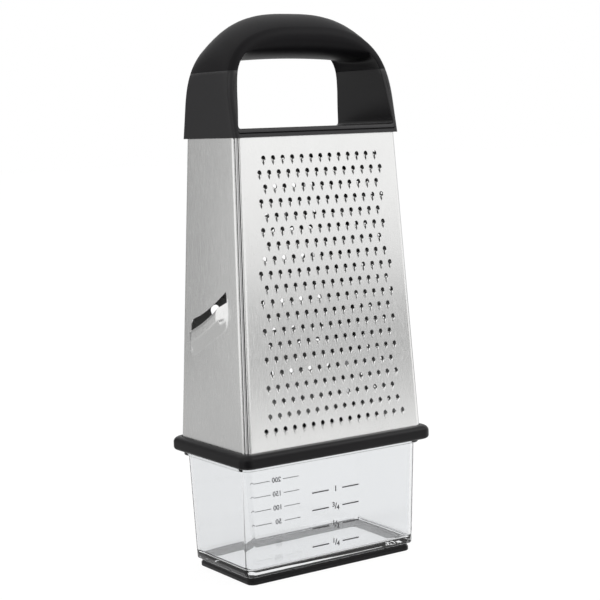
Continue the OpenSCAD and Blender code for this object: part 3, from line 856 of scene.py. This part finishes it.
class Handle:
    """The handle's surface as sections from one foot over the top to the other."""

    def __init__(self, size):
        self.cap = (size.top_w + CAP_REACH, size.top_d + CAP_REACH)
        self.z = size.steel_top
        self.rise = size.handle_h - SHOULDER
        self.half = self.cap[0] / 2 - size.leg_t
        self.rim_bow = (self.half, self.rise - CROWN - RIM_DROP, 2 / EDGE_SQUARE)
        self.roof = CAP_H + OPENING_H
        edge = [mix(EDGE_SHARE, 1, math.sin(math.pi / 2 * i / 7)) for i in range(8)]
        crown = [EDGE_SHARE * i / 6 for i in range(-5, 6)]
        self.outer = [-s for s in reversed(edge)] + crown + edge
        corner = [1 - math.cos(math.pi / 2 * i / 3) for i in range(3)]
        fine = [1 - INNER_EDGE * c for c in corner]
        swing = [math.sin(math.pi / 2 * i / 11) for i in range(11, -12, -1)]
        belly = [(1 - INNER_EDGE) * s for s in swing]
        self.inner = fine + belly + [-s for s in reversed(fine)]

    def half_depth(self, up):
        flare = (1 - min(1.0, max(0.0, up / FLARE_H))) ** FLARE_POWER
        return mix(GRIP_D, self.cap[1], flare) / 2

    def outer_bow(self, share):
        """Half width, height and power of the bow that the outside follows."""
        middle = 1 - share * share
        rounding = EDGE_R * ease(share, EDGE_SHARE)
        high = mix(self.rise - CROWN, self.rise, middle) - rounding
        power = 2 / mix(EDGE_SQUARE, CREST_SQUARE, middle)
        return (self.cap[0] / 2 - rounding, high, power)

    def opening_x(self, up):
        more = LEG_LEAN * max(0.0, up - LEAN_H) / (self.roof - LEAN_H)
        return self.half - more - rim_lean(up)

    def opening_line(self):
        """The opening from the split, up its right side and over to its left."""
        top = self.roof - ROOF_DROP - OPENING_R
        levels = [mix(SPLIT_H, top, i / 5) for i in range(6)]
        right = [(self.opening_x(up), up) for up in levels]
        corner = (right[-1][0] - OPENING_R, top)
        right += arc(corner, OPENING_R, 0, 90, 6)[1:-1]
        shares = [mix(1, -1, i / 44) for i in range(45)]
        roof = [(corner[0] * s, self.roof - ROOF_DROP * s * s) for s in shares]
        return right + roof + [(-x, up) for x, up in reversed(right)]

    def placed(self, share, point):
        return (point[0], share * self.half_depth(point[1]), self.z + point[1])

    def groove(self, side, rim, front, depth):
        """Three points of the fine groove beside the opening's edge."""
        gap = math.dist(front, rim) or 1
        points = []
        for step in (1, 0, -1):
            share = min(0.9, (GROOVE_IN + step * GROOVE_HALF) / gap)
            x, y, z = self.placed(side, between(rim, front, share))
            points.append((x, y - (side * depth if step == 0 else 0), z))
        return points[::side]

    def ring(self, outside, inner, rim, depth=0.0):
        """One section, from points over its outside and one inside and at its rim."""
        front = outside[-1]
        gap = math.dist(front, rim) or 1
        points = [self.placed(s, p) for s, p in zip(self.outer, outside)]
        points += self.groove(1, rim, front, depth)
        for s in self.inner:
            soft = min(0.45, RIM_FILLET / gap) * ease(s, 1 - INNER_EDGE)
            p = between(between(inner, rim, ease(s, 0)), front, soft)
            points.append(self.placed(s, p))
        return points + self.groove(-1, rim, front, depth)

    def arch_rings(self):
        line = self.opening_line()
        rings = []
        for k, point in enumerate(line):
            share = k / (len(line) - 1)
            outside = [over_bow(self.outer_bow(s), share) for s in self.outer]
            rim = over_bow(self.rim_bow, share)
            lean = math.copysign(rim_lean(rim[1]), rim[0])
            rings.append(self.ring(outside, point, (rim[0] - lean, rim[1])))
        return rings

    def leg_rings(self, side):
        """Sections of a leg from the split down to the middle of the cap's corner."""
        rings = []
        low = CAP_H + OPENING_R
        levels = [(mix(SPLIT_H, low, i / 16),) * 2 + (0.0,) for i in range(17)]
        for i, (x, y) in enumerate(arc((0, 0), OPENING_R, 15, 90, 5), 1):
            levels.append((low * (1 - i / 6), low - y, OPENING_R - x))
        for up, inner_up, inset in levels:
            bows = [self.outer_bow(s) for s in self.outer]
            outside = [(side * beside_bow(bow, up), up) for bow in bows]
            rim = beside_bow(self.rim_bow, inner_up) - rim_lean(inner_up)
            ends = (self.opening_x(inner_up) - inset, rim - inset)
            inner, rim = ((side * x, inner_up) for x in ends)
            depth = GROOVE * smooth((SPLIT_H - inner_up) / 4)
            rings.append(self.ring(outside, inner, rim, depth))
        return rings


def shrunk(ring, amount):
    """A level ring moved inwards by an amount, in its own plane."""
    points = [Vector(p) for p in ring]
    after = points[1:] + points[:1]
    area = sum(p.x * q.y - q.x * p.y for p, q in zip(points, after))
    moved = []
    for i, p in enumerate(points):
        along = after[i] - points[i - 1]
        across = Vector((-along.y, along.x, 0)) * (1 if area > 0 else -1)
        if across.length:
            across = across.normalized() * amount
        moved.append(tuple(p + across))
    return moved


def with_bevels(rings, amount=0.12):
    """Bevel both ends of a row of rings, for the fine line where parts meet."""
    ends = []
    for ring, beyond in ((rings[0], rings[1]), (rings[-1], rings[-2])):
        rise = amount if beyond[0][2] > ring[0][2] else -amount
        ends.append([shrunk(ring, amount), [(p[0], p[1], p[2] + rise) for p in ring]])
    return ends[0] + rings[1:-1] + ends[1][::-1]


class GRATER_OT_handle(Operator):
    """Make the hard handle frame and the soft grip over it"""

    bl_idname = "grater.handle"
    bl_label = "Handle"

    def execute(self, context):
        size = sizes(context)
        handle = Handle(size)
        parts = skin([ring[::-1] for ring in with_bevels(handle.arch_rings())])
        grip = add_object("soft_grip", *parts, ["soft_overmould"], 38)
        face_outwards(grip)
        finish_piece(grip, "grater", "soft_grip", "handle_grip")

        parts = skin(with_bevels(handle.leg_rings(-1) + handle.leg_rings(1)[::-1]))
        hard = add_object("handle_frame_hard", *parts, ["moulded_hard_plastic"], 38)
        face_outwards(hard)
        plan = (size.top_w + 0.2, size.top_d + 0.2, size.corner_r)
        rings = [(*plan, size.steel_top - 3), (*plan, size.ceiling)]
        recess = add_rounded("recess", rings, 10, [], closed=False)
        apply_modifier(
            hard, "BOOLEAN", operation="DIFFERENCE", solver="EXACT", object=recess
        )
        discard(recess)
        shade(hard.data, 38)
        finish_piece(hard, "grater", "hard_plastic", "handle_frame")
        return {"FINISHED"}


# Base and container. A section's points are a distance from a face and a height

CUP_W, CUP_D = 115.0, 62.8
CUP_LOW_W, CUP_LOW_D = 112.0, 58.0
CUP_R = 4.8
FOOT_H = 4.5
FLOOR_Z = 7.5
FLOOR_R = 2.6
FLANGE_Z = 63.6
RIM_TOP = 67.6
RIM_R = 0.4


def base_frame(size):
    """Hard frame under the soft ring, with the channel that the steel stands in and
    the chute that leads down into the container."""
    low, channel, lip = size.ring_z + 0.3, size.channel_z, RIM_TOP + 0.3
    steps = [(3.4, 1.8, low), (3.6, 1.8, low + 0.2), (3.6, 1.8, STEEL_Z - 1.5)]
    steps += [(0.8, 0.4, STEEL_Z - 1.5), (0.8, 0.4, channel), (-1.4, -0.7, channel)]
    steps += [(-1.4, -0.7, STEEL_Z - 0.3), (-2.0, -0.9, STEEL_Z), (-4.6, -2.3, STEEL_Z)]
    wide, deep, radius = size.bottom_w, size.bottom_d, size.corner_r
    rings = [(wide + more, deep + more, radius + r, z) for more, r, z in steps]
    steps = [(4.8, 2.2, lip), (1.0, CUP_R, lip), (1.0, CUP_R, low)]
    rings += [(CUP_W - less, CUP_D - less, r, z) for less, r, z in steps]
    base = add_rounded("base_frame_hard", rings, 10, ["moulded_hard_plastic"])
    finish_piece(base, "grater", "hard_plastic", "base_frame")


def screws():
    """Four pan-head screws with crossed slots, on the places of the CAD's own."""
    low, high = (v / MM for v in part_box("retainer_screws"))
    head_r, head_h, shank_r, length = 2.8, 1.8, 1.1, high.z - low.z
    profile = [(0.01, 0.55), (0.6, 0.5), (1.0, 0.1), (1.9, 0.08), (2.5, 0.4)]
    profile += [(head_r, 1.1), (head_r, head_h), (shank_r, head_h)]
    profile += [(shank_r, length - 0.8), (0.3, length)]
    rings = []
    for radius, z in profile:
        ring = []
        for i, (x, y) in enumerate(arc((0, 0), radius, 0, 345, 23)):
            cross = 1.9 if radius < shank_r and i % 6 == 0 else 1.0
            ring.append((cross * x, cross * y, z))
        rings.append(ring)
    screw = add_object("screw", *skin(rings), [], 40)
    across, along = (low.x + head_r, high.x - head_r), (low.y + head_r, high.y - head_r)
    places = [(x, y, low.z) for x in across for y in along]
    made = repeated(screw, places, (0, 0, 0), "zinc_plated_steel")
    made.name = "pan_head_screws"
    shade(made.data, 40)
    finish_piece(made, "grater", "screw_steel", "retainer_screws")


class GRATER_OT_inner_fittings(Operator):
    """Finish the retainer, its screws and the base's hard frame"""

    bl_idname = "grater.inner_fittings"
    bl_label = "Inner Fittings"

    def execute(self, context):
        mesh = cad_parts["top_retainer"].data
        mesh.materials.clear()
        mesh.materials.append(material_called("moulded_hard_plastic"))
        screws()
        base_frame(sizes(context))
        return {"FINISHED"}


class GRATER_OT_base_ring(Operator):
    """Make the soft ring round the base"""

    bl_idname = "grater.base_ring"
    bl_label = "Base Ring"

    def execute(self, context):
        size = sizes(context)
        out, high = size.ring_out, size.ring_h
        low_r, top_r = 1.9, 3.2
        section = [(1.8, 0.3), (2.0, 0.0)]
        section += arc((out - low_r, low_r), low_r, -90, 0, 8)
        section += arc((out - top_r, high - top_r), top_r, 0, 82, 12)
        section += [(0.5, high - 0.02), (0.15, high - 0.25), (0.1, high - 0.6)]
        section += [(0.1, high - 1.5), (1.8, high - 1.5)]
        rings = []
        for x, z in section:
            wide, deep = size.bottom_w + 2 * x, size.bottom_d + 2 * x
            rings.append((wide, deep, size.corner_r + 0.35 * x, size.ring_z + z))
        ring = add_rounded("soft_base_ring", rings, 14, ["soft_ring_moulding"])
        finish_piece(ring, "grater", "soft_ring", "base_ring")
        return {"FINISHED"}


def cup_share(z):
    """How far up the tapering wall a height is."""
    return (z - FOOT_H) / (FLANGE_Z - FOOT_H)


def cup_shell(wall):
    """Outside from the foot's groove up to the flange and rim, and then the inside."""
    steps = [(4.25, 0), (4.25, 1.2), (2.9, 1.2), (2.9, 0)]
    steps += [(1.0 - x, z) for x, z in arc((0, 1.0), 1.0, -90, 0, 6)] + [(0, 3)]
    steps = [(x, FOOT_H + z) for x, z in steps] + [(0, FLANGE_Z - 0.8)]
    flange = arc((0.8, -0.8), 0.8, 180, 90, 4) + arc((2.1, 0.5), 0.5, -90, 0, 4)
    flange += arc((2.1, 1.5), 0.5, 0, 90, 4) + [(-0.8, 2)]
    steps += [(-x, FLANGE_Z + z) for x, z in flange] + [(0.8, RIM_TOP - RIM_R)]
    rim = arc((0, 0), RIM_R, 0, 180, 6)
    steps += [(1.2 - x, RIM_TOP - RIM_R + z) for x, z in rim]
    steps += [(wall, RIM_TOP - 1), (wall, FLANGE_Z), (wall, FLOOR_Z + FLOOR_R)]
    steps += arc((wall + FLOOR_R, FLOOR_Z + FLOOR_R), FLOOR_R, 180, 270, 8)[1:]
    rings = []
    for inset, z in steps + [(wall + 4.5, FLOOR_Z)]:
        share = min(1.0, max(0.0, cup_share(z)))
        wide, deep = mix(CUP_LOW_W, CUP_W, share), mix(CUP_LOW_D, CUP_D, share)
        radius = max(0.8, CUP_R - inset * (1 if inset < 3 else 0.5))
        rings.append((wide - 2 * inset, deep - 2 * inset, radius, z))
    finish = ["clear_moulded_plastic"]
    shell = add_rounded("clear_container", rings, 12, finish, closed=False)
    finish_piece(shell, "container", "clear_plastic", "container")


def cup_foot():
    """Soft ring that the container stands on, held in the groove under it."""
    top = FOOT_H
    section = [(2.3, 0.0)]
    section += [(2.3 - x, 0.6 + z) for x, z in arc((0, 0), 0.6, -60, 0, 4)]
    section += [(1.7, 2.1), (1.8, 2.35), (2.1, 2.45), (2.15, 2.7), (2.15, top - 0.05)]
    section += [(2.25, top - 0.02), (3.05, top - 0.02), (3.05, top + 1.1)]
    section += [(4.1, top + 1.1), (4.1, 0.6), (3.9, 0.0)]
    wide, deep = CUP_LOW_W, CUP_LOW_D
    rings = [(wide - 2 * x, deep - 2 * x, CUP_R - x / 2, z) for x, z in section]
    foot = add_rounded("soft_foot_ring", rings, 12, ["soft_ring_moulding"])
    finish_piece(foot, "container", "soft_ring", "foot_ring")


class GRATER_OT_container(Operator):
    """Make the clear container and the soft foot under it"""

    bl_idname = "grater.container"
    bl_label = "Container"

    def execute(self, context):
        cup_shell(sizes(context).cup_wall)
        cup_foot()
        return {"FINISHED"}


DASH = 11.1
FILM = 0.04
DIGIT_H = 4.2
WEIGHT = 0.035


def add_number(verts, faces, text, x, z):
    """A number on the scale, and a fraction with small raised digits."""
    parts = [(text, 0.0, 0.0, DIGIT_H)]
    if "/" in text:
        over, under = text.split("/")
        parts = [(over, -1.5, 1.0, 3.6), ("/", 0.0, 0.0, 4.4), (under, 1.5, -1.0, 3.6)]
    for word, dx, dz, height in parts:
        curve = bpy.data.curves.new("number", "FONT")
        curve.body = word
        curve.size = height
        curve.offset = WEIGHT * height
        curve.align_x, curve.align_y = "CENTER", "CENTER"
        holder = link(bpy.data.objects.new("number", curve))
        mesh = evaluated_mesh(holder)
        discard(holder)
        start = len(verts)
        verts += [(v.co.x + x + dx, v.co.y + z + dz) for v in mesh.vertices]
        faces += [tuple(start + i for i in face.vertices) for face in mesh.polygons]


def add_scale(name, marks, dashes, thick, middle, turn, ink):
    """Marks of a height and a number between dashes, on the container's wall."""
    verts, faces = [], []
    for z, text in marks:
        for x in dashes:
            faces.append(tuple(range(len(verts), len(verts) + 4)))
            verts += [(x, z - thick / 2), (x + DASH, z - thick / 2)]
            verts += [(x + DASH, z + thick / 2), (x, z + thick / 2)]
        add_number(verts, faces, text, middle, z)
    spin = Matrix.Rotation(math.radians(turn), 3, "Z")
    placed = []
    for x, z in verts:
        depth = mix(CUP_LOW_D, CUP_D, cup_share(z)) / 2 + FILM
        placed.append(spin @ Vector((x, -depth, z)))
    scale = add_object(name, placed, faces, [ink])
    finish_piece(scale, "container", "clear_plastic")


class GRATER_OT_printed_scales(Operator):
    """Print the two number scales on the container"""

    bl_idname = "grater.printed_scales"
    bl_label = "Printed Scales"

    def execute(self, context):
        marks = [(45.2, "1"), (35.4, "3/4"), (25.1, "1/2"), (14.9, "1/4")]
        dashes, ink = (-15.1, 5.1), "printed_scale_ink"
        add_scale("front_scale", marks, dashes, 0.75, 0.65, 0, ink)
        marks = [(40.0, "200"), (31.4, "150"), (22.8, "100"), (14.1, "50")]
        # The far scale uses the same ink made lighter, as painted haze for its look
        # through the walls.
        dashes, ink = (-16.2, 3.9), "printed_far_scale_ink"
        add_scale("back_scale", marks, dashes, 0.5, -0.65, 180, ink)
        return {"FINISHED"}


# Studio, in metres

CAMERA_TURN = -33.93
CAMERA_RISE = 6.56
CAMERA_ROLL = -1.96
CAMERA_AWAY = 0.8568
TARGET_RIGHT, TARGET_UP = 0.00163, 0.14713
FOCAL_PIXELS = 1536.9
IMAGE_PIXELS = 600
SOFT_LIGHT = 0.62
BOARD_GLOW = 1.09
GLOW_SHARE = 0.86


def white_for_sight(tree):
    """1 where the camera, a mirror or clear plastic looks, and 0 for soft light."""
    path = add_node(tree, "ShaderNodeLightPath").outputs
    inputs = {0: path["Is Camera Ray"], 1: path["Is Glossy Ray"]}
    total = add_node(tree, "ShaderNodeMath", inputs, operation="ADD")
    inputs = {0: total.outputs[0], 1: path["Is Transmission Ray"]}
    made = add_node(tree, "ShaderNodeMath", inputs, operation="ADD", use_clamp=True)
    return made.outputs[0]


def light_world(context):
    world = bpy.data.worlds.new("Studio")
    context.scene.world = world
    tree = empty_tree(world)
    inputs = {"Value": white_for_sight(tree), "To Min": SOFT_LIGHT, "To Max": 1.0}
    strength = add_node(tree, "ShaderNodeMapRange", inputs).outputs["Result"]
    inputs = {"Color": (1, 1, 1, 1), "Strength": strength}
    sky = add_node(tree, "ShaderNodeBackground", inputs)
    add_node(tree, "ShaderNodeOutputWorld", {"Surface": sky.outputs[0]})


def add_flat(name, low, high, material):
    """Flat staging from one corner to the other."""
    corners = (low, (high[0], low[1]), high, (low[0], high[1]))
    verts = [(x / MM, y / MM, 0) for x, y in corners]
    made = add_object(name, verts, [(0, 1, 2, 3)], [])
    made.data.materials.append(material)
    return made


def add_floor():
    """Painted white board that shows white and keeps a soft shadow."""
    material, both = surface_material("white_painted_board", "ShaderNodeMixShader")
    tree = material.node_tree
    inputs = {0: white_for_sight(tree), 1: GLOW_SHARE}
    share = add_node(tree, "ShaderNodeMath", inputs, operation="MULTIPLY")
    paint = add_node(tree, "ShaderNodeBsdfDiffuse", {"Color": (0.8, 0.8, 0.8, 1)})
    glow = add_node(tree, "ShaderNodeEmission", {"Strength": BOARD_GLOW})
    for socket, node in enumerate((share, paint, glow)):
        tree.links.new(node.outputs[0], both.inputs[socket])
    add_flat("studio_floor", (-8, -8), (8, 8), material)


def aim(obj, place, target=(0, 0, 0.15)):
    obj.location = place
    away = Vector(place) - Vector(target)
    obj.rotation_mode = "QUATERNION"
    obj.rotation_quaternion = away.to_track_quat("Z", "Y")


def add_lamp(name, place, width, watts):
    data = bpy.data.lights.new(name, "AREA")
    data.shape = "SQUARE"
    data.size = width
    data.energy = watts
    aim(link(bpy.data.objects.new(name, data)), place)


def add_paper(name, low, high, level):
    """Evenly grey card that only mirrors and the teeth see."""
    inputs = {"Strength": level}
    material, _ = surface_material(name + "_paper", "ShaderNodeEmission", inputs)
    card = add_flat(name, low, high, material)
    card.visible_camera = card.visible_transmission = False
    card.visible_diffuse = card.visible_shadow = False
    return card


def standing_card(name, place, width, height, level):
    """Card that stands facing the grater and that the steel mirrors."""
    x, y = width / 2, height / 2
    aim(add_paper(name, (-x, -y), (x, y), level), place, (0, 0, place[2]))


def floor_card(name, low, high, level):
    """Card that lies on the floor and shows in the teeth."""
    add_paper(name, low, high, level).location = (0, 0, 0.0005)


def add_camera(context):
    """Camera at the photograph's angle, turned a little about its own axis."""
    a, e, roll = (math.radians(d) for d in (CAMERA_TURN, CAMERA_RISE, CAMERA_ROLL))
    back = Vector((math.sin(a) * math.cos(e), -math.cos(a) * math.cos(e), math.sin(e)))
    right = Vector((math.cos(a), math.sin(a), 0))
    up = back.cross(right)
    across = math.cos(roll) * right + math.sin(roll) * up
    above = -math.sin(roll) * right + math.cos(roll) * up
    target = right * TARGET_RIGHT + Vector((0, 0, TARGET_UP))
    data = bpy.data.cameras.new("Camera")
    data.sensor_width = 36
    data.lens = FOCAL_PIXELS / IMAGE_PIXELS * data.sensor_width
    data.clip_start, data.clip_end = 0.05, 20
    camera = link(bpy.data.objects.new("Camera", data))
    turn = Matrix((across, above, back)).transposed().to_4x4()
    camera.matrix_world = Matrix.Translation(target + back * CAMERA_AWAY) @ turn
    context.scene.camera = camera


class GRATER_OT_studio(Operator):
    """Make the floor, the lights, the grey cards and the camera"""

    bl_idname = "grater.studio"
    bl_label = "Studio"

    def execute(self, context):
        add_floor()
        light_world(context)
        add_lamp("key_softbox", (0.75, -0.75, 0.95), 0.7, 3.4)
        add_lamp("fill_softbox", (-0.8, -0.5, 0.7), 0.7, 1.3)
        add_lamp("top_softbox", (0.1, 0.3, 1.1), 0.8, 1.2)
        standing_card("left_back_grey_card", (-0.318, 0.854, 0.33), 0.57, 0.7, 0.32)
        standing_card("right_front_low_grey_card", (0.56, -0.83, 0.06), 1.0, 0.15, 0.3)
        standing_card("camera_side_dark_card", (-0.68, -0.75, 0.3), 0.55, 0.6, 0.02)
        floor_card("left_floor_grey_card", (-0.7, -0.04), (-0.066, 0.8), 0.5)
        floor_card("camera_side_floor_dark_card", (-0.5, -1.1), (-0.02, -0.1), 0.03)
        add_camera(context)
        context.scene.view_settings.view_transform = "Standard"
        return {"FINISHED"}


class GRATER_PT_panel(Panel):
    """Sizes, colours and steps of the grater"""

    bl_label = "Box Grater"
    bl_idname = "GRATER_PT_panel"
    bl_space_type = "VIEW_3D"
    bl_region_type = "UI"
    bl_category = "Grater"

    def draw(self, context):
        for name in GraterSettings.__annotations__:
            self.layout.prop(context.scene.grater, name)
        for step in STEPS:
            self.layout.operator(step.bl_idname)


STEPS = (
    GRATER_OT_studio,
    GRATER_OT_toothed_sides,
    GRATER_OT_slicer_side,
    GRATER_OT_corner_strips,
    GRATER_OT_handle,
    GRATER_OT_inner_fittings,
    GRATER_OT_base_ring,
    GRATER_OT_container,
    GRATER_OT_printed_scales,
)
CLASSES = (GraterSettings, *STEPS, GRATER_PT_panel)


def register():
    for item in CLASSES:
        bpy.utils.register_class(item)
    bpy.types.Scene.grater = PointerProperty(type=GraterSettings)


def unregister():
    del bpy.types.Scene.grater
    for item in reversed(CLASSES):
        bpy.utils.unregister_class(item)


def main():
    register()
    for step in STEPS:
        group, name = step.bl_idname.split(".")
        getattr(getattr(bpy.ops, group), name)()


if __name__ == "__main__":
    main()
